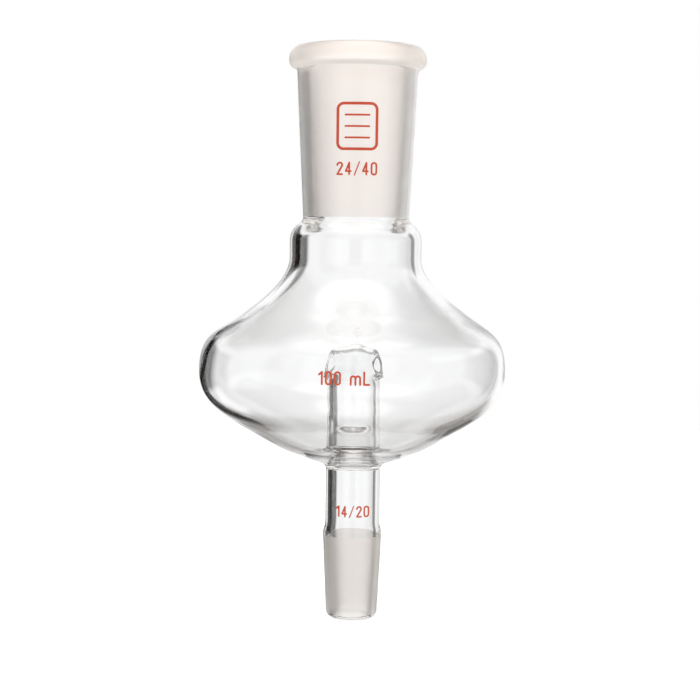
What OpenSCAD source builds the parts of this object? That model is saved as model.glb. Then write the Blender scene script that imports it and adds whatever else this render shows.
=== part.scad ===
// Solvent trap of borosilicate glass: a squat 100 mL bulb between a ground socket above and a ground cone
// below, with a domed inner tube that turns the vapour out sideways. All lengths are in millimetres.
// The axis is Z, the origin is the centre of the cone's tip, and +Z points up to the mouth of the socket.

/* [Ground joints] */
// Diameter that a ground joint loses for each millimetre of its length
taper = 0.1; // [0.05:0.01:0.15]
// Diameter of the ground bore at its wide end
socket_bore_d = 24; // [19:0.5:29]
// Length of the ground bore
socket_len = 40; // [30:1:50]
// Glass around the ground bore
socket_wall = 3.2; // [2:0.1:4]
// Diameter of the ground cone at its wide end
cone_d = 14.8; // [12:0.1:19]
// Length of the ground cone
cone_len = 21; // [14:1:30]
// Glass inside the ground cone
cone_wall = 1.9; // [1.4:0.1:2.4]

/* [Rolled rim] */
// How far the rim stands out from the socket's wall
rim_out = 2; // [1:0.1:3]
// Height of the rim
rim_h = 6.2; // [4:0.1:8]
// Depth of the flared lead-in above the ground bore
mouth_depth = 1.7; // [1:0.1:3]
// How far the lead-in flares out
mouth_flare = 0.9; // [0.5:0.1:1.5]
// Width of the flat land on top of the rim
rim_land = 1.6; // [1:0.1:2]

/* [Bulb] */
// Largest outside diameter of the bulb
bulb_d = 76.2; // [62:0.2:95]
// Height from the bulb's base up to its widest ring
lower_h = 21.8; // [17:0.1:27]
// Height from the widest ring up to the foot of the neck
upper_h = 27.7; // [22:0.1:35]
// Outside diameter of the neck
neck_d = 32.9; // [30:0.1:36]
// Straight length of the neck
neck_len = 4.6; // [3:0.1:8]
// Height of the shoulder between the neck and the socket
shoulder_h = 5.7; // [4.5:0.1:8]
// Thickness of the bulb's wall at its widest ring
bulb_wall = 1.7; // [1.4:0.1:2.4]
// Thickness of the neck's wall
neck_wall = 2.6; // [1.8:0.1:3]
// Thickness of the bulb's wall at the ring seal
base_wall = 2; // [1.5:0.1:2.6]

/* [Stem and ring seal] */
// Outside diameter of the stem
stem_d = 13.7; // [11.4:0.1:16.5]
// Thickness of the stem's wall
stem_wall = 1.7; // [1.4:0.1:2.3]
// Length of the stem
stem_len = 16.2; // [12:0.1:25]
// Length over which the stem swells out to the ground cone
swell_len = 3.3; // [2:0.1:5]
// Diameter at which the ring seal passes into the bulb
seal_d = 24.2; // [20:0.1:30]
// Height of the ring seal outside the bulb
seal_h = 3.3; // [2.6:0.1:6]
// Height to which the ring seal rises on the inner tube, above the bulb's base
seal_rise = 3.4; // [3:0.1:6]

/* [Inner vapour tube] */
// Outside diameter of the tube
tube_d = 13.4; // [11:0.1:16]
// Thickness of the tube's wall
tube_wall = 1.5; // [1:0.1:1.9]
// Height of the tube's dome top above the bulb's base
tube_h = 32; // [26:0.1:38]
// Height of the dome
dome_h = 5.2; // [4:0.1:7]
// Thickness of the glass at the dome's crown
crown_wall = 2; // [1.4:0.1:2.6]
// Diameter of each of the two side ports
port_d = 8; // [6.5:0.1:9.5]
// Height of the ports' centres above the bulb's base
port_h = 23.5; // [19:0.1:27]
// Angle by which the ports look up
port_tilt = 11; // [0:1:20]
// Thickness of the fire-polished lip around a port
lip_wall = 0.9; // [0.7:0.1:1.2]
// How far the middle of a lip stands off the tube
lip_out = 0.6; // [0.3:0.1:1.2]

/* [Fired enamel marks] */
// Thickness of the enamel
enamel = 0.1; // [0.08:0.01:0.2]
// Height of the figures
figure_h = 3.2; // [2.5:0.1:4]
// Width of a drawn stroke
stroke_w = 0.45; // [0.3:0.05:0.6]
// Width of the blank marking panel
panel_w = 10; // [8:0.5:12]
// Height of the blank marking panel
panel_h = 11.4; // [8:0.2:14]
// Distance from the top of the ground bore down to the middle of the panel
panel_drop = 18.5; // [14:0.5:20]
// Gap between the panel and the socket's size
mark_gap = 2.7; // [1.5:0.1:3.5]
// Height of the capacity's middle above the bulb's widest ring
capacity_rise = 1.5; // [-3:0.5:4]
// Height of the cone's size above the top of the ground cone
cone_mark_rise = 6.8; // [5:0.1:8]

/* [Hidden] */
$fn = 96;

curve_steps = 14; // straight pieces in each curved stretch of an outline
glass = [0.86, 0.92, 0.93];
ground_glass = [0.90, 0.89, 0.87];
red_enamel = [0.80, 0.22, 0.14];

// Heights, from the tip of the cone up
z_stem = cone_len;
z_seal = z_stem + stem_len;
z_base = z_seal + seal_h;
z_tube = z_base + seal_rise;
z_wide = z_base + lower_h;
z_neck = z_wide + upper_h;
z_shoulder = z_neck + neck_len;
z_socket = z_shoulder + shoulder_h;
z_ground_top = z_socket + socket_len;
z_top = z_ground_top + mouth_depth;
z_rim = z_top - rim_h;
z_port = z_base + port_h;

// Radii
cone_r = cone_d / 2;
tip_r = cone_r - taper / 2 * cone_len;
stem_r = stem_d / 2;
stem_bore_r = stem_r - stem_wall;
seal_r = seal_d / 2;
tube_r = tube_d / 2;
tube_bore_r = tube_r - tube_wall;
bulb_r = bulb_d / 2;
neck_r = neck_d / 2;
bore_r = socket_bore_d / 2;
bore_low_r = bore_r - taper / 2 * socket_len;
socket_low_r = bore_low_r + socket_wall;
port_r = port_d / 2;

// Radius of the socket's outer wall at a height
function socket_r(z) = socket_low_r + taper / 2 * (z - z_socket);

// A point on a cubic curve with the ends a and d and the handles b and c
function cubic(a, b, c, d, t) =
    a * pow(1 - t, 3) + 3 * b * t * pow(1 - t, 2) + 3 * c * t * t * (1 - t) + d * pow(t, 3);
// The whole cubic curve, as points from a to d
function curve(a, b, c, d) = [for (i = [0:curve_steps]) cubic(a, b, c, d, i / curve_steps)];
// A quarter of an ellipse about c, from the angle a0 to the angle a1
function quarter(c, rx, ry, a0, a1) =
    [for (i = [0:curve_steps]) c + [rx * cos(a0 + (a1 - a0) * i / curve_steps),
                                   ry * sin(a0 + (a1 - a0) * i / curve_steps)]];
// A list without its first point, for joining curves end to end
function rest(p) = [for (i = [1:len(p) - 1]) p[i]];
// The points of a list in the other order
function reversed(p) = [for (i = [len(p) - 1:-1:0]) p[i]];
function unit(v) = v / norm(v);
function left_of(v) = [-v[1], v[0]];
// Points moved sideways off a line of points, each by its own distance to the right
function beside(p, away) = [for (i = [0:len(p) - 1])
    p[i] - away[i] * unit(left_of(p[min(i + 1, len(p) - 1)] - p[max(i - 1, 0)]))];

// Outline of the bulb's outer wall, from the neck down to the ring seal. The flare passes from hollow to full
// at flare_at, and the lower wall is nearly a cone below knee_at.
flare_w = bulb_r - neck_r;
flare_at = [neck_r + 0.456 * flare_w, z_wide + 0.556 * upper_h];
flare_way = unit([0.776, -0.631]);
floor_w = bulb_r - seal_r;
knee_at = [seal_r + 0.633 * floor_w, z_base + 0.39 * lower_h];
knee_way = unit([-0.862, -0.507]);
base_at = [seal_r, z_base];
base_way = unit([-0.941, -0.338]);
upper_wall = concat(
    [[neck_r, z_shoulder]],
    curve([neck_r, z_neck], [neck_r, z_neck - 0.19 * upper_h], flare_at - 0.1 * flare_w * flare_way, flare_at),
    rest(curve(flare_at, flare_at + 0.4 * flare_w * flare_way, [bulb_r, z_wide + 0.365 * upper_h],
               [bulb_r, z_wide])));
lower_wall = concat(
    rest(curve([bulb_r, z_wide], [bulb_r, z_wide - 0.343 * lower_h], knee_at - 0.204 * floor_w * knee_way,
               knee_at)),
    rest(curve(knee_at, knee_at + 0.4 * floor_w * knee_way, base_at - 0.32 * floor_w * base_way, base_at)));
outer_wall = concat(upper_wall, lower_wall);

// The glass is thickest at the neck and was blown thinnest at the widest ring
upper_glass = [for (p = upper_wall) bulb_wall + (neck_wall - bulb_wall) * (bulb_r - p[0]) / flare_w];
lower_glass = [for (p = lower_wall) bulb_wall + (base_wall - bulb_wall) * (bulb_r - p[0]) / floor_w];
inner_wall = beside(outer_wall, concat(upper_glass, lower_glass));
base_in = inner_wall[len(inner_wall) - 1];
neck_bore_r = inner_wall[0][0];

module revolved(points) rotate_extrude() polygon(points);

// Ground socket with a rolled rim
module upper_socket() color(ground_glass) {
    land_out = bore_r + mouth_flare + rim_land;
    rim_r = socket_r(z_rim) + rim_out;
    z_widest = z_top - 0.53 * rim_h;
    revolved(concat(
        [[bore_low_r, z_socket], [bore_r, z_ground_top]],
        rest(quarter([bore_r + mouth_flare, z_ground_top], mouth_flare, mouth_depth, 180, 90)),
        quarter([land_out, z_widest], rim_r - land_out, z_top - z_widest, 90, 0),
        rest(curve([rim_r, z_widest], [rim_r, z_widest - 0.3 * rim_h],
                   [socket_r(z_rim) + 0.1, z_rim + 0.16 * rim_h], [socket_r(z_rim), z_rim])),
        [[socket_low_r, z_socket]]));
}

// Shoulder in which the socket is sealed to the bulb's neck
module shoulder_seal() color(glass) {
    revolved(concat(
        curve([neck_r, z_shoulder], [neck_r, z_shoulder + 0.63 * shoulder_h],
              [socket_low_r + 0.05, z_shoulder + 0.7 * shoulder_h], [socket_low_r, z_socket]),
        curve([bore_low_r, z_socket], [bore_low_r, z_socket - 0.44 * shoulder_h],
              [neck_bore_r, z_shoulder + 0.46 * shoulder_h], [neck_bore_r, z_shoulder])));
}

// Blown bulb with its neck
module bulb() color(glass) revolved(concat(outer_wall, reversed(inner_wall)));

// Ring seal that joins the bulb, the inner tube and the stem
module ring_seal() color(glass) {
    gather = 0.5 * (seal_r - stem_r); // how far the glass runs on towards the axis before it turns
    bore_step = 1;
    revolved(concat(
        [[stem_bore_r, z_seal]],
        curve([stem_r, z_seal], [stem_r, z_seal + 0.58 * seal_h], base_at + gather * base_way, base_at),
        curve(base_in, base_in + 0.8 * gather * base_way, [tube_r, z_tube - 0.6 * seal_rise],
              [tube_r, z_tube]),
        [[tube_bore_r, z_tube], [stem_bore_r, z_tube - bore_step]]));
}

// One port's lip: a short collar with a rounded end, along +X
module port_lip() {
    lip_r = port_r + lip_wall / 2;
    rotate([0, 90, 0]) {
        cylinder(r = port_r + lip_wall, h = tube_r + lip_out);
        translate([0, 0, tube_r + lip_out]) rotate_extrude() translate([lip_r, 0]) circle(d = lip_wall);
    }
}

// Places a thing at each of the two ports
module at_ports() {
    for (turn = [0, 180]) rotate([0, 0, turn]) translate([0, 0, z_port]) rotate([0, -port_tilt, 0])
        translate([-sin(port_tilt) * tube_r / 2, 0, 0]) children();
}

// Domed inner tube with its two side ports
module vapour_tube() color(glass) {
    z_dome = z_base + tube_h - dome_h;
    bore_dome_h = dome_h - crown_wall;
    difference() {
        union() {
            revolved(concat([[0, z_tube], [tube_r, z_tube]],
                            quarter([0, z_dome], tube_r, dome_h, 0, 90)));
            at_ports() port_lip();
        }
        revolved(concat([[0, z_tube - 1], [tube_bore_r, z_tube - 1]],
                        quarter([0, z_dome], tube_bore_r, bore_dome_h, 0, 90)));
        at_ports() rotate([0, 90, 0]) cylinder(r = port_r, h = tube_d);
    }
}

// Plain stem between the ring seal and the ground cone
module stem_tube() color(glass) {
    revolved(concat(
        [[stem_bore_r, z_seal], [stem_r, z_seal]],
        curve([stem_r, z_stem + swell_len], [stem_r, z_stem + 0.5 * swell_len],
              [cone_r, z_stem + 0.4 * swell_len], [cone_r, z_stem]),
        curve([cone_r - cone_wall, z_stem], [cone_r - cone_wall, z_stem + 0.4 * swell_len],
              [stem_bore_r, z_stem + 0.5 * swell_len], [stem_bore_r, z_stem + swell_len])));
}

// Ground cone with a fire-polished tip
module lower_cone() color(ground_glass) {
    nose_w = 0.6 * cone_wall;
    nose_h = 1.7;
    nose_r = tip_r + taper / 2 * nose_h;
    revolved(concat(
        [[cone_r - cone_wall, z_stem], [cone_r, z_stem]],
        quarter([nose_r - nose_w, nose_h], nose_w, nose_h, 0, -90),
        [[tip_r - cone_wall, 0]]));
}

// A drawn stroke with round ends, from p to q
module stroke(p, q, w) {
    way = q - p;
    translate(p) rotate(atan2(way[1], way[0])) translate([0, -w / 2]) square([norm(way), w]);
    for (end = [p, q]) translate(end) circle(d = w);
}

// A drawn arc about c, from the angle a0 to the larger angle a1, with round ends
module arc_stroke(c, r, a0, a1, w) {
    reach = 2 * r;
    middle = (a0 + a1) / 2;
    translate(c) {
        intersection() {
            difference() {
                circle(r = r + w / 2);
                circle(r = r - w / 2);
            }
            polygon(concat([[0, 0]], [for (a = [a0, (a0 + middle) / 2, middle, (middle + a1) / 2, a1])
                                          reach * [cos(a), sin(a)]]));
        }
        for (a = [a0, a1]) translate(r * [cos(a), sin(a)]) circle(d = w);
    }
}

// One figure or letter, drawn in strokes on the line y = 0, with h as its height. glyph_w gives its width.
function glyph_w(c, h) = h * (c == "m" ? 0.8 : c == " " ? 0.34 : c == "1" ? 0.34 : 0.5);
module glyph(c, h, w) {
    width = glyph_w(c, h);
    top = h - w / 2;
    foot = w / 2;
    right = width - w / 2;
    left = w / 2;
    bow = (right - left) / 2;
    if (c == "0") {
        for (x = [left, right]) stroke([x, foot + bow], [x, top - bow], w);
        arc_stroke([left + bow, top - bow], bow, 0, 180, w);
        arc_stroke([left + bow, foot + bow], bow, 180, 360, w);
    }
    if (c == "1") {
        stroke([right, foot], [right, top], w);
        stroke([right, top], [left, top - 0.18 * h], w);
    }
    if (c == "2") {
        arc_stroke([left + bow, top - bow], bow, -35, 180, w);
        stroke([left + bow * (1 + cos(35)), top - bow * (1 + sin(35))], [left, foot], w);
        stroke([left, foot], [right, foot], w);
    }
    if (c == "4") {
        stem_x = left + 0.7 * (right - left);
        stroke([stem_x, foot], [stem_x, top], w);
        stroke([stem_x, top], [left, 0.3 * h], w);
        stroke([left, 0.3 * h], [right, 0.3 * h], w);
    }
    if (c == "/") stroke([left, foot - 0.05 * h], [right, top + 0.05 * h], 0.7 * w);
    if (c == "m") {
        arch = (right - left) / 4;
        for (x = [left, left + 2 * arch, right]) stroke([x, foot], [x, 0.66 * h - arch], w);
        for (x = [left + arch, left + 3 * arch]) arc_stroke([x, 0.66 * h - arch], arch, 0, 180, w);
    }
    if (c == "L") {
        stroke([left, foot], [left, top], w);
        stroke([left, foot], [right, foot], w);
    }
}

gap_share = 0.14; // space between two glyphs, as a share of their height
// Width of the first n glyphs of a word, with the spaces after them
function word_w(word, n, h) = n == 0 ? 0 : word_w(word, n - 1, h) + glyph_w(word[n - 1], h) + gap_share * h;
// A word in the plane, centred across x = 0, on the line y = 0
module word_shape(word, h, w) {
    shift = -(word_w(word, len(word), h) - gap_share * h) / 2;
    for (i = [0:len(word) - 1]) translate([shift + word_w(word, i, h), 0]) glyph(word[i], h, w);
}

// Blank panel to write on: a frame with round corners and three ruled lines
module panel_shape() {
    frame = 1.5 * stroke_w;
    corner = 1.4;
    x = panel_w / 2 - frame / 2;
    y = panel_h / 2 - frame / 2;
    for (side = [-1, 1]) {
        stroke([side * x, corner - y], [side * x, y - corner], frame);
        stroke([corner - x, side * y], [x - corner, side * y], frame);
        for (up = [-1, 1]) {
            start = side == 1 ? (up == 1 ? 0 : 270) : (up == 1 ? 90 : 180);
            arc_stroke([side * (x - corner), up * (y - corner)], corner, start, start + 90, frame);
        }
    }
    for (row = [-1:1]) stroke([1.3 * corner - x, row * y / 2], [x - 1.3 * corner, row * y / 2], stroke_w);
}

// Lays a flat drawing, centred at the height z, on the front of a skin of revolution. skin is the wall's
// outline, from its top down, where the enamel lies.
module on_front(z, skin) {
    intersection() {
        translate([0, 0, z]) rotate([90, 0, 0]) linear_extrude(bulb_d) children();
        revolved(concat(skin, reversed(beside(skin, [for (p = skin) -enamel]))));
    }
}

// Heights of the marks' centres
z_panel = z_ground_top - panel_drop;
z_socket_mark = z_panel - panel_h / 2 - mark_gap - figure_h / 2;
z_capacity = z_wide + capacity_rise;
z_cone_mark = z_stem + cone_mark_rise;

function socket_skin(z, reach) = [for (s = [1, -1]) [socket_r(z + s * reach), z + s * reach]];

module marking_panel() color(red_enamel)
    on_front(z_panel, socket_skin(z_panel, panel_h / 2 + 1)) panel_shape();

module socket_size_mark() color(red_enamel)
    on_front(z_socket_mark, socket_skin(z_socket_mark, figure_h))
        translate([0, -figure_h / 2]) word_shape("24/40", figure_h, stroke_w);

module capacity_mark() color(red_enamel)
    on_front(z_capacity, [for (p = outer_wall) if (abs(p[1] - z_capacity) < 1.9 * figure_h) p])
        translate([-1.8, -figure_h / 2]) word_shape("100 mL", figure_h, stroke_w);

module cone_size_mark() color(red_enamel)
    on_front(z_cone_mark, [for (s = [1, -1]) [stem_r, z_cone_mark + s * figure_h]])
        translate([0, -figure_h / 2]) word_shape("14/20", 0.9 * figure_h, 0.9 * stroke_w);

upper_socket();
shoulder_seal();
bulb();
ring_seal();
vapour_tube();
stem_tube();
lower_cone();
marking_panel();
socket_size_mark();
capacity_mark();
cone_size_mark();
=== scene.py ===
"""Bump trap of clear borosilicate glass: each fused blank as its own piece, with its enamel marks.

Outlines are in millimetres in the row frame: Z is the trap's axis, and the tip of the ground cone is at z = 0.
"""

import math

import bmesh
import bpy
from bpy.props import FloatProperty, FloatVectorProperty, IntProperty, PointerProperty
from mathutils import Matrix, Vector


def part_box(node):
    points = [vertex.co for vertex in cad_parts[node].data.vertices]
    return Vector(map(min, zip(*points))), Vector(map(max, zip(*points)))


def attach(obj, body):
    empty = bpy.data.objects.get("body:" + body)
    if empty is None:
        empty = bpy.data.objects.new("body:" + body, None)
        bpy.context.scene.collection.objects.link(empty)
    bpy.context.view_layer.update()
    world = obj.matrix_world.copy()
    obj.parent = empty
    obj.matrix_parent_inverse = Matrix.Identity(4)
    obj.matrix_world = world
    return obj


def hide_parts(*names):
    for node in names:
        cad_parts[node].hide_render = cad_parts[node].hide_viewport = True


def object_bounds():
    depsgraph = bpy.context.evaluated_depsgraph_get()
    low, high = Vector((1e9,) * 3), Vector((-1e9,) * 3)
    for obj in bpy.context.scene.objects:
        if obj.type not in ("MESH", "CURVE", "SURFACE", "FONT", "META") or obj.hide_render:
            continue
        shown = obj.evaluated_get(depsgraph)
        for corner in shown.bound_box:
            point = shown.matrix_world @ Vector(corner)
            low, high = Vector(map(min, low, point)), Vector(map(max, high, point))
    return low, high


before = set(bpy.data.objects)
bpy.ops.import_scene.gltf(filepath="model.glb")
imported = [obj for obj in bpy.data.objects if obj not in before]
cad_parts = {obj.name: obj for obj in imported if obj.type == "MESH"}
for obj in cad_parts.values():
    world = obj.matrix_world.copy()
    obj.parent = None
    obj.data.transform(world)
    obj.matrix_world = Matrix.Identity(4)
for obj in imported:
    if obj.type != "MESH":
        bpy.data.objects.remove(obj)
CAD_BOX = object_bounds()

bl_info = {
    "name": "Bump Trap",
    "version": (1, 0, 0),
    "blender": (4, 5, 0),
    "location": "3D View > Sidebar > Bump Trap",
    "description": "Builds a glass bump trap around its packed frame",
    "category": "Add Mesh",
}

MM = 0.001
BODY = "root"
RING_TOLERANCE = 0.02 * MM
MERGE_DISTANCE = 1e-7
CURVE_STEPS = 22
SHARP_ANGLE = math.radians(35)
FLOOR_R = 0.4
GLASS_IOR = 1.473
CLEAR, WELD, GROUND = 0, 1, 2

# The glassblower's sizes, in millimetres. TAPER is how much a ground joint's radius grows with each millimetre.
TAPER = 0.05
SOCKET_GROUND = 40
RIM_H = 6.2
MATT_RIM_H = 5.6
MOUTH_FLARE = 0.9
MOUTH_LAND = 1.6
BULB_WALL = 1.7
LOWER_H = 21.8
UPPER_H = 27.7
STEM_SWELL = 3.3
CONE_NOSE = 1.7
CONE_MATT_FROM = 1.0
MARK_SUNK = 0.02

# How the hand-made pieces stray from true, in millimetres: the heights where the lean and the wander are greatest,
# how far they reach up and down, and the distances from the axis over which the lean sets in.
LEAN_Z, LEAN_REACH = 63, 15
WANDER_Z, WANDER_REACH = 66, 22
LEAN_STARTS, LEAN_FULL = 9, 17

# The inner tube, in millimetres: the heights over which its worked top sets in, the radius between its bore and its
# outside, the top of its bore, the voxel and the rounds of smoothing that melt its edges round, and its true foot.
WORKED_FROM, WORKED_FULL = 56, 64
TUBE_MID_R = 5.9
TUBE_BORE_TOP = 66
MELT_VOXEL = 0.26
MELT_ROUNDS = 14
TUBE_FOOT_H = 2

# Which faces count as a weld: how flat they lie, how far the bulb's slanted end tips, and how near the middle of
# the weld they are, in millimetres.
WELD_FLATNESS = 0.98
WELD_SLANT = 0.2
WELD_NEAR = 0.01
SLANTED_WELD_NEAR = 0.3


# ---------------------------------------------------------------- sizes from the frame


def edge_rings(node):
    """The lowest and the highest flat ring of a node: (z, bore radius, outer radius) of each, in millimetres."""
    points = [v.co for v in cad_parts[node].data.vertices]
    rings = []
    for z in (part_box(node)[0].z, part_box(node)[1].z):
        radii = [p.to_2d().length for p in points if abs(p.z - z) < RING_TOLERANCE]
        rings.append((z / MM, min(radii) / MM, max(radii) / MM))
    return rings


def outer_radius(node):
    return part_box(node)[1].y / MM


CONE_FOOT, CONE_TOP = edge_rings("lower_cone")
STEM_FOOT, STEM_TOP = edge_rings("stem_tube")
TUBE_FOOT = edge_rings("vapour_tube")[0]
BULB_TOP = edge_rings("bulb")[1]
SOCKET_FOOT, SOCKET_TOP = edge_rings("upper_socket")
BULB_R = outer_radius("bulb")
RIM_R = outer_radius("upper_socket")


# ---------------------------------------------------------------- properties


class TrapShape(bpy.types.PropertyGroup):
    """Sizes that a glassblower would choose, beyond those that the frame fixes"""

    turns: IntProperty(
        name="Faces round",
        description="Faces round each blown piece",
        default=160,
        min=48,
        max=320,
    )
    lean: FloatProperty(
        name="Bulb lean",
        description="How far the blown bulb sits off the axis, in millimetres",
        default=0.55,
        min=0,
        max=1,
    )
    ovality: FloatProperty(
        name="Ovality",
        description="How far the bulb's radius strays from round, in millimetres",
        default=0.12,
        min=0,
        max=0.5,
    )
    ripple: FloatProperty(
        name="Wall ripple",
        description="How far the inner walls wander, in millimetres",
        default=0.10,
        min=0,
        max=0.4,
    )


class TrapFinish(bpy.types.PropertyGroup):
    """Colours and finishes of the glass and its marks"""

    glass: FloatVectorProperty(
        name="Glass",
        description="Tint of the clear glass",
        subtype="COLOR",
        size=3,
        default=(0.99, 0.993, 0.993),
    )
    ground: FloatVectorProperty(
        name="Ground glass",
        description="Tint of the ground glass",
        subtype="COLOR",
        size=3,
        default=(1.0, 0.948, 0.905),
    )
    enamel: FloatVectorProperty(
        name="Enamel",
        description="Colour of the fired marks",
        subtype="COLOR",
        size=3,
        default=(0.60, 0.075, 0.03),
    )
    floor: FloatVectorProperty(
        name="Floor",
        description="Colour of the floor",
        subtype="COLOR",
        size=3,
        default=(0.80, 0.80, 0.80),
    )


# ---------------------------------------------------------------- outlines


def curve(a, b, c, d, steps=CURVE_STEPS):
    """A cubic curve from a to d with the handles b and c."""
    points = []
    for i in range(steps + 1):
        t = i / steps
        s = 1 - t
        w = (s * s * s, 3 * t * s * s, 3 * t * t * s, t * t * t)
        points.append(tuple(sum(k * p[n] for k, p in zip(w, (a, b, c, d))) for n in (0, 1)))
    return points


def quarter(centre, rx, ry, start, end, steps=CURVE_STEPS):
    """Part of an ellipse about centre, between two angles in degrees."""
    angles = (math.radians(start + (end - start) * i / steps) for i in range(steps + 1))
    return [(centre[0] + rx * math.cos(a), centre[1] + ry * math.sin(a)) for a in angles]


def line(a, b, steps):
    """A straight stretch from a to b, cut into steps."""
    return [(a[0] + (b[0] - a[0]) * i / steps, a[1] + (b[1] - a[1]) * i / steps) for i in range(steps + 1)]


def along(point, way, reach):
    return (point[0] + way[0] * reach, point[1] + way[1] * reach)


def unit(x, y):
    length = math.hypot(x, y)
    return (x / length, y / length)


def offset(points, glass):
    """The line's inner side: each point moved off it by its own thickness of glass."""
    moved = []
    for i, point in enumerate(points):
        before = points[max(i - 1, 0)]
        after = points[min(i + 1, len(points) - 1)]
        way = unit(after[0] - before[0], after[1] - before[1])
        moved.append((point[0] + way[1] * glass[i], point[1] - way[0] * glass[i]))
    return moved


def flat_point(corner):
    """A point of the frame as (distance from the axis, height), in millimetres."""
    return (corner.to_2d().length / MM, corner.z / MM)


def bulb_walls():
    """The bulb's outer and inner walls, from its top edge down to the ring seal, and the way the outer ends."""
    z_top, bore, neck_r = BULB_TOP
    corners = [v.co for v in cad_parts["bulb"].data.vertices]
    base = flat_point(min(corners, key=lambda p: p.z))
    base_in = flat_point(min(corners, key=lambda p: p.to_2d().length))
    base_wall = math.dist(base, base_in)
    wide_z = base[1] + LOWER_H
    flare_w = BULB_R - neck_r
    floor_w = BULB_R - base[0]
    flare_at = (neck_r + 0.456 * flare_w, wide_z + 0.556 * UPPER_H)
    flare_way = unit(0.776, -0.631)
    knee_at = (base[0] + 0.633 * floor_w, base[1] + 0.39 * LOWER_H)
    knee_way = unit(-0.862, -0.507)
    base_way = unit(-0.941, -0.338)
    neck_at = (neck_r, wide_z + UPPER_H)
    widest = (BULB_R, wide_z)
    upper = line((neck_r, z_top), neck_at, 5)[:-1]
    upper += curve(
        neck_at,
        (neck_r, neck_at[1] - 0.19 * UPPER_H),
        along(flare_at, flare_way, -0.1 * flare_w),
        flare_at,
    )
    upper += curve(
        flare_at,
        along(flare_at, flare_way, 0.4 * flare_w),
        (BULB_R, wide_z + 0.365 * UPPER_H),
        widest,
    )[1:]
    lower = curve(
        widest,
        (BULB_R, wide_z - 0.343 * LOWER_H),
        along(knee_at, knee_way, -0.204 * floor_w),
        knee_at,
    )[1:]
    lower += curve(
        knee_at,
        along(knee_at, knee_way, 0.4 * floor_w),
        along(base, base_way, -0.32 * floor_w),
        base,
    )[1:]
    neck_gain = (neck_r - bore - BULB_WALL) / flare_w
    base_gain = (base_wall - BULB_WALL) / floor_w
    glass = [BULB_WALL + neck_gain * (BULB_R - p[0]) for p in upper]
    glass += [BULB_WALL + base_gain * (BULB_R - p[0]) for p in lower]
    return upper + lower, offset(upper + lower, glass), base_way


def socket_outline():
    """The ground socket: its bore from the foot up, over the rim, and down its outside."""
    foot_z, bore_low, wall_low = SOCKET_FOOT
    top_z = SOCKET_TOP[0]
    ground_top = foot_z + SOCKET_GROUND
    bore = bore_low + TAPER * SOCKET_GROUND
    rim_z = top_z - RIM_H
    wall = wall_low + TAPER * (rim_z - foot_z)
    widest = top_z - 0.53 * RIM_H
    land_out = bore + MOUTH_FLARE + MOUTH_LAND
    inside = line((bore_low, foot_z), (bore, ground_top), 40)
    lip = quarter((bore + MOUTH_FLARE, ground_top), MOUTH_FLARE, top_z - ground_top, 180, 90, 8)[1:]
    bead = quarter((land_out, widest), RIM_R - land_out, top_z - widest, 90, 0)
    groove = curve(
        (RIM_R, widest),
        (RIM_R, widest - 0.3 * RIM_H),
        (wall + 0.1, rim_z + 0.16 * RIM_H),
        (wall, rim_z),
    )[1:]
    outside = line((wall, rim_z), (wall_low, foot_z), 40)[1:]
    return inside + lip + bead + groove + outside


def shoulder_outline():
    """The shoulder between the bulb's neck and the socket."""
    low, bore, neck_r = BULB_TOP
    high, bore_low, wall_low = SOCKET_FOOT
    h = high - low
    outside = curve(
        (neck_r, low),
        (neck_r, low + 0.63 * h),
        (wall_low + 0.05, low + 0.7 * h),
        (wall_low, high),
    )
    inside = curve(
        (bore_low, high),
        (bore_low, high - 0.44 * h),
        (bore, low + 0.46 * h),
        (bore, low),
    )
    return outside + inside


def seal_outline():
    """The ring seal: from the stem's top out to the bulb, and back in to the inner tube's foot."""
    outer, inner, way = bulb_walls()
    base, base_in = outer[-1], inner[-1]
    seal_z, stem_bore, stem_r = STEM_TOP
    tube_z, tube_bore, tube_r = TUBE_FOOT
    gather = 0.5 * (base[0] - stem_r)
    rise = tube_z - base[1]
    below = curve(
        (stem_r, seal_z),
        (stem_r, seal_z + 0.58 * (base[1] - seal_z)),
        along(base, way, gather),
        base,
    )
    above = curve(
        base_in,
        along(base_in, way, 0.8 * gather),
        (tube_r, tube_z - 0.6 * rise),
        (tube_r, tube_z),
    )
    bore = curve(
        (tube_bore, tube_z),
        (tube_bore, tube_z - 1),
        (stem_bore, tube_z - 2),
        (stem_bore, seal_z),
        12,
    )
    return below + above + bore


def stem_outline():
    """The stem, with the swell at its foot where it meets the ground cone."""
    low, cone_bore, cone_r = STEM_FOOT
    high, stem_bore, stem_r = STEM_TOP
    swell_z = low + STEM_SWELL
    down = line((stem_r, high), (stem_r, swell_z), 14)[:-1]
    outside = curve(
        (stem_r, swell_z),
        (stem_r, low + 0.5 * STEM_SWELL),
        (cone_r, low + 0.4 * STEM_SWELL),
        (cone_r, low),
    )
    inside = curve(
        (cone_bore, low),
        (cone_bore, low + 0.4 * STEM_SWELL),
        (stem_bore, low + 0.5 * STEM_SWELL),
        (stem_bore, swell_z),
    )
    up = line((stem_bore, swell_z), (stem_bore, high), 14)[1:]
    return down + outside + inside + up


def cone_outline():
    """The ground cone with its fire-polished nose."""
    high, bore, cone_r = CONE_TOP
    foot_bore = CONE_FOOT[1]
    nose_r = cone_r - TAPER * (high - CONE_NOSE)
    nose_w = 0.6 * (cone_r - bore)
    outside = line((cone_r, high), (nose_r, CONE_NOSE), 24)
    tip = quarter((nose_r - nose_w, CONE_NOSE), nose_w, CONE_NOSE, 0, -90, 12)[1:]
    return outside + tip + line((foot_bore, 0), (bore, high), 24)


# ---------------------------------------------------------------- mesh helpers


def share(value, start, end):
    """How far value has come on its way from start to end, from 0 to 1."""
    return min(1, max(0, (value - start) / (end - start)))


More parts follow.
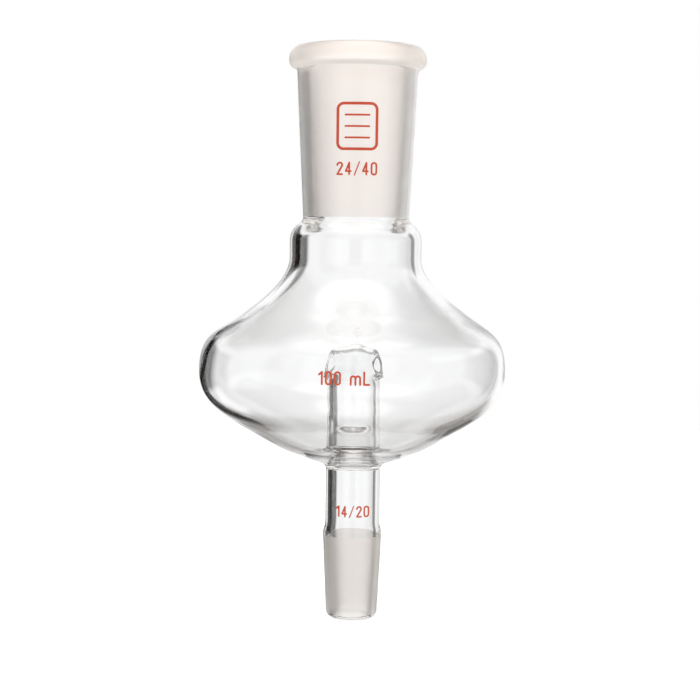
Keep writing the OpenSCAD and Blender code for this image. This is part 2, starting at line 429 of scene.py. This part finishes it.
def hand_made(shape, point, inner):
    """Where a point of the true shape lies once the piece was blown by hand. inner is 1 on inner walls, or 0."""
    x, y, z = (c / MM for c in point)
    r = math.hypot(x, y)
    if r < 1e-6:
        return Vector(point)
    turn = math.atan2(y, x)
    swell = math.exp(-(((z - LEAN_Z) / LEAN_REACH) ** 2))
    stray = shape.ovality * swell * math.sin(2 * turn + 0.7)
    waves = math.sin(3 * turn + 0.21 * z) + 0.6 * math.sin(5 * turn - 0.16 * z + 1.1)
    fade = max(0, 1 - ((z - WANDER_Z) / WANDER_REACH) ** 2) ** 2
    grow = 1 + (stray + shape.ripple * inner * waves * fade) / r
    lean = shape.lean * swell * share(r, LEAN_STARTS, LEAN_FULL)
    return Vector((x * grow - lean, y * grow, z)) * MM


def spun(outline, turns):
    """A bmesh of the closed outline spun round the axis, in metres."""
    bm = bmesh.new()
    verts = [bm.verts.new((x * MM, 0, z * MM)) for x, z in outline]
    pairs = zip(verts, verts[1:] + verts[:1])
    edges = [bm.edges.new((a, b)) for a, b in pairs if (a.co - b.co).length > 1e-9]
    bmesh.ops.spin(
        bm,
        geom=verts + edges,
        cent=(0, 0, 0),
        axis=(0, 0, 1),
        dvec=(0, 0, 0),
        angle=math.tau,
        steps=turns,
        use_merge=True,
        use_normal_flip=False,
        use_duplicate=False,
    )
    bmesh.ops.remove_doubles(bm, verts=bm.verts, dist=MERGE_DISTANCE)
    bmesh.ops.recalc_face_normals(bm, faces=bm.faces)
    return bm


def as_piece(bm, name, replaced, materials):
    """Turns a finished bmesh into a smooth-shaded piece that rides on the body and stands for a CAD node."""
    for face in bm.faces:
        face.smooth = True
    for edge in bm.edges:
        if len(edge.link_faces) == 2 and edge.calc_face_angle(0) > SHARP_ANGLE:
            edge.smooth = False
    mesh = bpy.data.meshes.new(name)
    bm.to_mesh(mesh)
    bm.free()
    piece = bpy.data.objects.new(name, mesh)
    bpy.context.scene.collection.objects.link(piece)
    for material in materials:
        mesh.materials.append(material)
    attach(piece, BODY)
    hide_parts(replaced)
    return piece


def fire_polished(bm):
    """The same closed shape with its sharp edges melted round. Takes the bmesh and gives back a new one."""
    mesh = bpy.data.meshes.new("blank")
    bm.to_mesh(mesh)
    bm.free()
    blank = bpy.data.objects.new("blank", mesh)
    bpy.context.scene.collection.objects.link(blank)
    remesh = blank.modifiers.new("melt", "REMESH")
    remesh.mode = "VOXEL"
    remesh.voxel_size = MELT_VOXEL * MM
    melted = bmesh.new()
    melted.from_object(blank, bpy.context.evaluated_depsgraph_get())
    bpy.data.objects.remove(blank)
    bpy.data.meshes.remove(mesh)
    for _ in range(MELT_ROUNDS):
        bmesh.ops.smooth_vert(
            melted, verts=melted.verts, factor=0.5, use_axis_x=True, use_axis_y=True, use_axis_z=True
        )
    return melted


def tube_waver(point):
    """Where a point of the inner tube lies: the bore and the worked top are a little uneven."""
    x, y, z = (c / MM for c in point)
    r = math.hypot(x, y)
    if r < 1e-6:
        return Vector(point)
    top = share(z, WORKED_FROM, WORKED_FULL)
    inner = 1 if r < TUBE_MID_R and z < TUBE_BORE_TOP else 0
    turn = math.atan2(y, x)
    wander = 0.05 * math.sin(0.9 * z + turn) + 0.12 * top * math.sin(2 * turn + 0.8 * z) * (0.4 + inner)
    lift = 0.18 * top * math.sin(1.1 * x + 0.6)
    at_foot = z <= TUBE_FOOT[0] + 0.5
    grow = 1 if at_foot else 1 + wander * min(1, r / 3) / r
    return Vector((x * grow, y * grow, z + lift)) * MM


def mark_welds(bm, *levels):
    """Gives the flat rings at these heights, where pieces are fused, the weld's material."""
    for face in bm.faces:
        centre = face.calc_center_median()
        if any(abs(centre.z / MM - z) < WELD_NEAR for z in levels) and abs(face.normal.z) > WELD_FLATNESS:
            face.material_index = WELD


def on_inner_wall(face):
    """True where a face looks towards the axis."""
    centre = face.calc_center_median()
    return face.normal.x * centre.x + face.normal.y * centre.y < 0


def faces_between(bm, start, end):
    """The faces whose middle is farther from the axis than start and nearer than end, both outline points."""
    return [f for f in bm.faces if start[0] < f.calc_center_median().to_2d().length / MM < end[0]]


def blow(bm, shape):
    """Moves every vertex to where it lies on the hand-made piece."""
    inner = {}
    for face in bm.faces:
        if on_inner_wall(face) and face.material_index != WELD:
            for vert in face.verts:
                inner[vert.index] = 1
    for vert in bm.verts:
        vert.co = hand_made(shape, vert.co, inner.get(vert.index, 0))


# ---------------------------------------------------------------- materials


def material(name):
    """A new material, with its node tree and its Principled node."""
    made = bpy.data.materials.get(name)
    if made:
        bpy.data.materials.remove(made)
    made = bpy.data.materials.new(name)
    made.use_nodes = True
    return made, made.node_tree, made.node_tree.nodes["Principled BSDF"]


def node(tree, kind, **values):
    """A new node, with inputs set by name and other properties by attribute."""
    made = tree.nodes.new(kind)
    for key, value in values.items():
        if key in made.inputs:
            made.inputs[key].default_value = value
        else:
            setattr(made, key, value)
    return made


def object_coordinates(tree, scale=(1, 1, 1)):
    """Object coordinates through a Mapping node with this scale."""
    mapping = node(tree, "ShaderNodeMapping", Scale=scale)
    tree.links.new(node(tree, "ShaderNodeTexCoord").outputs["Object"], mapping.inputs["Vector"])
    return mapping.outputs["Vector"]


def noise(tree, vector, size_mm, detail=2.0):
    """A noise pattern whose features are about size_mm across."""
    made = node(tree, "ShaderNodeTexNoise", Scale=1 / (size_mm * MM), Detail=detail)
    tree.links.new(vector, made.inputs["Vector"])
    return made.outputs["Fac"]


def ranged(tree, value, low, high, to_low, to_high):
    """value, from low..high to to_low..to_high."""
    made = node(tree, "ShaderNodeMapRange")
    made.inputs["From Min"].default_value = low
    made.inputs["From Max"].default_value = high
    made.inputs["To Min"].default_value = to_low
    made.inputs["To Max"].default_value = to_high
    tree.links.new(value, made.inputs["Value"])
    return made.outputs["Result"]


def bump(tree, height, distance_mm, strength=1.0):
    """A normal raised by height, up to distance_mm."""
    made = node(tree, "ShaderNodeBump", Strength=strength, Distance=distance_mm * MM)
    tree.links.new(height, made.inputs["Height"])
    return made.outputs["Normal"]


def clear_glass(finish):
    """Fire-polished glass with the faint drawn-out waves of hand work and a trace of handling."""
    made, tree, shader = material("polished_glass")
    shader.inputs["Base Color"].default_value = (*finish.glass, 1)
    shader.inputs["Transmission Weight"].default_value = 1
    shader.inputs["IOR"].default_value = GLASS_IOR
    waves = noise(tree, object_coordinates(tree, (1, 1, 0.45)), 9)
    tree.links.new(bump(tree, waves, 0.02), shader.inputs["Normal"])
    haze = noise(tree, object_coordinates(tree), 4, 4)
    tree.links.new(ranged(tree, haze, 0.45, 0.8, 0.0, 0.03), shader.inputs["Roughness"])
    return made


def ground_glass(finish, name, painted_glow):
    """Glass ground to a seal: a fine matt grain with faint rings left by the turning tool.

    The third argument is painted light: an emission strength that makes the matt skin glow though it is no lamp.
    """
    made, tree, shader = material(name)
    shader.inputs["Transmission Weight"].default_value = 0.8
    # Painted glow: an emission in the ground glass's tint that brightens the matt skin though it is no lamp.
    shader.inputs["Emission Strength"].default_value = painted_glow
    shader.inputs["Emission Color"].default_value = (*finish.ground, 1)
    shader.inputs["IOR"].default_value = GLASS_IOR
    cloud = noise(tree, object_coordinates(tree, (1, 1, 2)), 5, 5)
    tint = node(tree, "ShaderNodeMix", data_type="RGBA")
    tint.inputs["A"].default_value = (*[c * 0.97 for c in finish.ground], 1)
    tint.inputs["B"].default_value = (*finish.ground, 1)
    tree.links.new(cloud, tint.inputs["Factor"])
    tree.links.new(tint.outputs["Result"], shader.inputs["Base Color"])
    tree.links.new(ranged(tree, cloud, 0.3, 0.7, 0.30, 0.40), shader.inputs["Roughness"])
    rings = noise(tree, object_coordinates(tree, (0.02, 0.02, 1)), 0.35, 3)
    grain = noise(tree, object_coordinates(tree), 0.12, 2)
    both = node(tree, "ShaderNodeMath", operation="ADD")
    tree.links.new(rings, both.inputs[0])
    tree.links.new(grain, both.inputs[1])
    tree.links.new(bump(tree, both.outputs["Value"], 0.02, 0.6), shader.inputs["Normal"])
    return made


def weld():
    """The place where two blanks were fused: the glass runs on, so nothing shows."""
    made, _, shader = material("fused_seam")
    shader.inputs["Alpha"].default_value = 0
    shader.inputs["Roughness"].default_value = 0
    shader.inputs["Specular IOR Level"].default_value = 0
    return made


def red_enamel(finish):
    """Screen-printed enamel, fired on: a slightly uneven coat with a low gloss."""
    made, tree, shader = material("fired_enamel")
    coat = noise(tree, object_coordinates(tree), 0.5, 4)
    tint = node(tree, "ShaderNodeMix", data_type="RGBA")
    tint.inputs["A"].default_value = (*[c * 0.82 for c in finish.enamel], 1)
    tint.inputs["B"].default_value = (*[min(1, c * 1.12) for c in finish.enamel], 1)
    tree.links.new(coat, tint.inputs["Factor"])
    tree.links.new(tint.outputs["Result"], shader.inputs["Base Color"])
    tree.links.new(ranged(tree, coat, 0.3, 0.7, 0.30, 0.48), shader.inputs["Roughness"])
    tree.links.new(bump(tree, coat, 0.02, 0.6), shader.inputs["Normal"])
    return made


def pale_floor(finish):
    """A pale, evenly lit table."""
    made, tree, shader = material("pale_floor")
    shader.inputs["Base Color"].default_value = (*finish.floor, 1)
    shader.inputs["Roughness"].default_value = 0.7
    shader.inputs["Emission Color"].default_value = (1, 1, 1, 1)
    shader.inputs["Emission Strength"].default_value = 0.7
    return made


def finishes(context):
    """The materials, made once and shared by the pieces."""
    finish = context.scene.trap_finish
    made = {}
    for name, make in (
        ("polished_glass", lambda: clear_glass(finish)),
        ("frosted_glass", lambda: ground_glass(finish, "frosted_glass", 0.0)),
        # The bore's matt glass gets a painted glow of 0.10, an emission that brightens it though it is no lamp.
        ("frosted_bore_painted_glow", lambda: ground_glass(finish, "frosted_bore_painted_glow", 0.10)),
        ("fused_seam", weld),
        ("fired_enamel", lambda: red_enamel(finish)),
    ):
        made[name] = bpy.data.materials.get(name) or make()
    return made


def blown_piece(context, name, replaced, outline, welds, ground=None, matt="frosted_glass"):
    """Spins an outline into a piece. ground tells which faces are ground, if any; matt names their finish."""
    shape = context.scene.trap_shape
    bm = spun(outline, shape.turns)
    mark_welds(bm, *welds)
    if ground:
        for face in bm.faces:
            if face.material_index != WELD and ground(face):
                face.material_index = GROUND
    blow(bm, shape)
    kinds = finishes(context)
    used = [kinds["polished_glass"], kinds["fused_seam"]]
    if ground:
        used.append(kinds[matt])
    return as_piece(bm, name, replaced, used)


# ---------------------------------------------------------------- operators


class TrapSocket(bpy.types.Operator):
    """Ground socket with its rolled rim: matt bore and rim, clear outside"""

    bl_idname = "trap.socket"
    bl_label = "Socket"

    def execute(self, context):
        foot, top = SOCKET_FOOT[0], SOCKET_TOP[0]

        def ground(face):
            z = face.calc_center_median().z / MM
            return on_inner_wall(face) or z > top - MATT_RIM_H

        outline = socket_outline()
        # The matt bore and rim take the ground glass with its painted glow.
        blown_piece(context, "socket", "upper_socket", outline, (foot,), ground, "frosted_bore_painted_glow")
        return {"FINISHED"}


class TrapShoulder(bpy.types.Operator):
    """Shoulder that joins the socket to the bulb's neck"""

    bl_idname = "trap.shoulder"
    bl_label = "Shoulder"

    def execute(self, context):
        blown_piece(context, "shoulder", "shoulder_seal", shoulder_outline(), (BULB_TOP[0], SOCKET_FOOT[0]))
        return {"FINISHED"}


class TrapBulb(bpy.types.Operator):
    """Blown bulb with its neck"""

    bl_idname = "trap.bulb"
    bl_label = "Bulb"

    def execute(self, context):
        shape = context.scene.trap_shape
        outer, inner, _ = bulb_walls()
        bm = spun(outer + inner[::-1], shape.turns)
        mark_welds(bm, BULB_TOP[0])
        for face in faces_between(bm, inner[-1], outer[-1]):
            if face.normal.z < -WELD_SLANT and on_inner_wall(face):
                face.material_index = WELD
        blow(bm, shape)
        kinds = finishes(context)
        as_piece(bm, "blown_bulb", "bulb", [kinds["polished_glass"], kinds["fused_seam"]])
        return {"FINISHED"}


class TrapSeal(bpy.types.Operator):
    """Ring seal that joins the bulb, the inner tube and the stem"""

    bl_idname = "trap.ring_seal"
    bl_label = "Ring seal"

    def execute(self, context):
        shape = context.scene.trap_shape
        outer, inner, _ = bulb_walls()
        bm = spun(seal_outline(), shape.turns)
        mark_welds(bm, STEM_TOP[0], TUBE_FOOT[0])
        weld_z = (outer[-1][1] + inner[-1][1]) / 2
        for face in faces_between(bm, inner[-1], outer[-1]):
            near = abs(face.calc_center_median().z / MM - weld_z) < SLANTED_WELD_NEAR
            if near and face.normal.z > WELD_SLANT and not on_inner_wall(face):
                face.material_index = WELD
        blow(bm, shape)
        kinds = finishes(context)
        as_piece(bm, "ring", "ring_seal", [kinds["polished_glass"], kinds["fused_seam"]])
        return {"FINISHED"}


class TrapTube(bpy.types.Operator):
    """Domed inner tube with a fire-polished port on each side"""

    bl_idname = "trap.inner_tube"
    bl_label = "Inner tube"

    def execute(self, context):
        foot_z, bore, tube_r = TUBE_FOOT
        bm = bmesh.new()
        bm.from_mesh(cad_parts["vapour_tube"].data)
        bmesh.ops.remove_doubles(bm, verts=bm.verts, dist=MERGE_DISTANCE)
        bm = fire_polished(bm)
        cut_z = (foot_z + TUBE_FOOT_H) * MM
        bmesh.ops.bisect_plane(
            bm,
            geom=bm.verts[:] + bm.edges[:] + bm.faces[:],
            dist=1e-8,
            plane_co=(0, 0, cut_z),
            plane_no=(0, 0, -1),
            clear_outer=True,
        )
        rims = [e for e in bm.edges if e.is_boundary]
        drawn = bmesh.ops.extrude_edge_only(bm, edges=rims)["geom"]
        for vert in (v for v in drawn if isinstance(v, bmesh.types.BMVert)):
            radius = vert.co.to_2d().length
            true_r = (tube_r if radius > (tube_r + bore) / 2 * MM else bore) * MM
            vert.co = Vector((vert.co.x * true_r / radius, vert.co.y * true_r / radius, foot_z * MM))
        rims = [e for e in bm.edges if e.is_boundary]
        foot = bmesh.ops.bridge_loops(bm, edges=rims)["faces"]
        for face in foot:
            face.material_index = WELD
        for vert in bm.verts:
            vert.co = tube_waver(vert.co)
        bmesh.ops.recalc_face_normals(bm, faces=bm.faces)
        kinds = finishes(context)
        as_piece(bm, "domed_tube", "vapour_tube", [kinds["polished_glass"], kinds["fused_seam"]])
        return {"FINISHED"}


class TrapStem(bpy.types.Operator):
    """Stem between the ring seal and the ground cone"""

    bl_idname = "trap.stem"
    bl_label = "Stem"

    def execute(self, context):
        blown_piece(context, "stem", "stem_tube", stem_outline(), (STEM_FOOT[0], STEM_TOP[0]))
        return {"FINISHED"}


class TrapCone(bpy.types.Operator):
    """Ground cone: ground outside, clear inside, with a fire-polished nose"""

    bl_idname = "trap.cone"
    bl_label = "Cone"

    def execute(self, context):
        def ground(face):
            return not on_inner_wall(face) and face.calc_center_median().z / MM > CONE_MATT_FROM

        blown_piece(context, "cone", "lower_cone", cone_outline(), (CONE_TOP[0],), ground)
        return {"FINISHED"}


class TrapMarks(bpy.types.Operator):
    """Enamel marks, laid on the blown glass"""

    bl_idname = "trap.marks"
    bl_label = "Marks"

    def execute(self, context):
        kinds = finishes(context)
        shape = context.scene.trap_shape
        for name in ("marking_panel", "socket_size_mark", "capacity_mark", "cone_size_mark"):
            bm = bmesh.new()
            bm.from_mesh(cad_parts[name].data)
            bmesh.ops.remove_doubles(bm, verts=bm.verts, dist=MERGE_DISTANCE)
            for vert in bm.verts:
                blown = hand_made(shape, vert.co, 0)
                vert.co = blown - Vector((blown.x, blown.y, 0)).normalized() * MARK_SUNK * MM
            as_piece(bm, name + "_enamel", name, [kinds["fired_enamel"]])
        return {"FINISHED"}


class TrapStage(bpy.types.Operator):
    """Pale floor, soft light and the camera"""

    bl_idname = "trap.stage"
    bl_label = "Stage"

    def execute(self, context):
        scene = context.scene
        make_floor(scene.trap_finish)
        make_world(scene)
        make_camera(scene)
        scene.view_settings.view_transform = "Standard"
        scene.cycles.max_bounces = 32
        scene.cycles.transmission_bounces = 32
        scene.cycles.glossy_bounces = 16
        scene.cycles.transparent_max_bounces = 32
        return {"FINISHED"}


def make_floor(finish):
    """A round table top under the cone's tip, which the glass neither mirrors nor refracts."""
    bm = bmesh.new()
    bmesh.ops.create_circle(bm, cap_ends=True, radius=FLOOR_R, segments=96)
    mesh = bpy.data.meshes.new("floor")
    bm.to_mesh(mesh)
    bm.free()
    mesh.transform(Matrix.Translation((0, 0, CAD_BOX[0].z)))
    floor = bpy.data.objects.new("floor", mesh)
    bpy.context.scene.collection.objects.link(floor)
    mesh.materials.append(pale_floor(finish))
    floor.visible_transmission = False
    floor.visible_glossy = False


BRIGHT = (2.2, 2.15, 2.1)
WHITE = (1, 1, 1)
PALE = (0.94, 0.93, 0.92)
GREY = (0.30, 0.29, 0.28)
LOW = (0.42, 0.40, 0.38)
DIM = (0.12, 0.11, 0.10)
BLACK = (0.012, 0.009, 0.007)

# Screens and openings round the glass, each laid over those before it: name, then degrees left of straight back
# (from, to), degrees above level (from, to), the width of its soft edge, and its colour.
SCREENS = (
    ("overhead", (-180, 180), (64, 120), 8, BRIGHT),
    ("front", (112, 248), (-90, 50), 12, PALE),
    ("low", (-180, 180), (-90, -19), 8, LOW),
    ("high", (-75, 75), (28, 60), 8, GREY),
    ("right", (-118, -40), (-70, 20), 8, GREY),
    ("left", (15, 74), (-70, 16), 6, BLACK),
    ("side wall", (110, 142), (-30, 45), 8, GREY),
    ("lens side", (168, 192), (-12, 20), 8, GREY),
    ("low left", (64, 112), (-60, -20), 8, DIM),
    ("left opening", (35, 59), (-43, -16), 6, WHITE),
    ("right opening", (-150, -122), (-34, 10), 8, WHITE),
    ("low opening", (-9, 7), (-75, -19), 6, WHITE),
    ("right edge", (-78, -56), (-60, 16), 6, DIM),
)


def make_world(scene):
    """A white studio whose screens draw the glass's edges. Seen directly, it is plain white."""
    world = bpy.data.worlds.new("studio")
    world.use_nodes = True
    scene.world = world
    tree = world.node_tree
    way = node(tree, "ShaderNodeSeparateXYZ")
    tree.links.new(node(tree, "ShaderNodeTexCoord").outputs["Generated"], way.inputs["Vector"])

    def maths(operation, a, b=0.0):
        made = node(tree, "ShaderNodeMath", operation=operation)
        for socket, value in zip(made.inputs, (a, b)):
            if isinstance(value, (int, float)):
                socket.default_value = value
            else:
                tree.links.new(value, socket)
        return made.outputs["Value"]

    def step(value, start, end):
        made = node(tree, "ShaderNodeMapRange", interpolation_type="SMOOTHSTEP")
        made.inputs["From Min"].default_value = start
        made.inputs["From Max"].default_value = end
        tree.links.new(value, made.inputs["Value"])
        return made.outputs["Result"]

    def within(value, low, high, soft):
        """1 between low and high, fading to 0 over a soft edge on each side."""
        rise = step(value, low - soft / 2, low + soft / 2)
        fall = step(value, high + soft / 2, high - soft / 2)
        return maths("MULTIPLY", rise, fall)

    degree = math.pi / 180
    left = maths("DIVIDE", maths("ARCTAN2", maths("MULTIPLY", way.outputs["X"], -1), way.outputs["Y"]), degree)
    up = maths("DIVIDE", maths("ARCSINE", way.outputs["Z"]), degree)
    tone = None
    for _, (start, end), (bottom, top), soft, colour in SCREENS:
        spread = within(left, start, end, soft)
        if start <= -180:
            spread = 1
        elif end > 180:
            spread = maths("MAXIMUM", spread, within(maths("ADD", left, 360), start, end, soft))
        height = within(up, bottom, top, soft) if bottom > -90 else step(up, top + soft / 2, top - soft / 2)
        mask = maths("MULTIPLY", spread, height)
        mix = node(tree, "ShaderNodeMix", data_type="RGBA")
        mix.inputs["A"].default_value = (*WHITE, 1)
        mix.inputs["B"].default_value = (*colour, 1)
        tree.links.new(mask, mix.inputs["Factor"])
        if tone:
            tree.links.new(tone, mix.inputs["A"])
        tone = mix.outputs["Result"]
    seen = node(tree, "ShaderNodeMix", data_type="RGBA")
    seen.inputs["B"].default_value = (*WHITE, 1)
    tree.links.new(tone, seen.inputs["A"])
    tree.links.new(node(tree, "ShaderNodeLightPath").outputs["Is Camera Ray"], seen.inputs["Factor"])
    tree.links.new(seen.outputs["Result"], tree.nodes["Background"].inputs["Color"])


def make_camera(scene):
    """The camera: a long lens, slightly above, looking a little down, with a slight roll."""
    aim = Vector((-1.1, 0, 67.3)) * MM
    distance = 0.370
    pitch = math.radians(4.44)
    roll = math.radians(0.7)
    data = bpy.data.cameras.new("camera")
    data.lens = 76.1
    data.sensor_width = 36
    camera = bpy.data.objects.new("camera", data)
    back = Vector((0, -math.cos(pitch), math.sin(pitch)))
    camera.rotation_mode = "QUATERNION"
    level = (-back).to_track_quat("-Z", "Y")
    camera.rotation_quaternion = level @ Matrix.Rotation(roll, 3, "Z").to_quaternion()
    camera.location = aim + back * distance
    data.clip_start = 0.01
    scene.collection.objects.link(camera)
    scene.camera = camera


OPERATORS = (
    TrapStage,
    TrapSocket,
    TrapShoulder,
    TrapBulb,
    TrapSeal,
    TrapTube,
    TrapStem,
    TrapCone,
    TrapMarks,
)


class TrapPanel(bpy.types.Panel):
    """Lists the trap's pieces"""

    bl_idname = "VIEW3D_PT_bump_trap"
    bl_label = "Bump Trap"
    bl_space_type = "VIEW_3D"
    bl_region_type = "UI"
    bl_category = "Bump Trap"

    def draw(self, context):
        for group in (context.scene.trap_shape, context.scene.trap_finish):
            for name in group.__annotations__:
                self.layout.prop(group, name)
        for operator in OPERATORS:
            self.layout.operator(operator.bl_idname)


CLASSES = (TrapShape, TrapFinish, *OPERATORS, TrapPanel)


def register():
    for made in CLASSES:
        bpy.utils.register_class(made)
    bpy.types.Scene.trap_shape = PointerProperty(type=TrapShape)
    bpy.types.Scene.trap_finish = PointerProperty(type=TrapFinish)


def unregister():
    del bpy.types.Scene.trap_finish
    del bpy.types.Scene.trap_shape
    for made in reversed(CLASSES):
        bpy.utils.unregister_class(made)


def main():
    register()
    bpy.ops.trap.stage()
    bpy.ops.trap.socket()
    bpy.ops.trap.shoulder()
    bpy.ops.trap.bulb()
    bpy.ops.trap.ring_seal()
    bpy.ops.trap.inner_tube()
    bpy.ops.trap.stem()
    bpy.ops.trap.cone()
    bpy.ops.trap.marks()


if __name__ == "__main__":
    main()
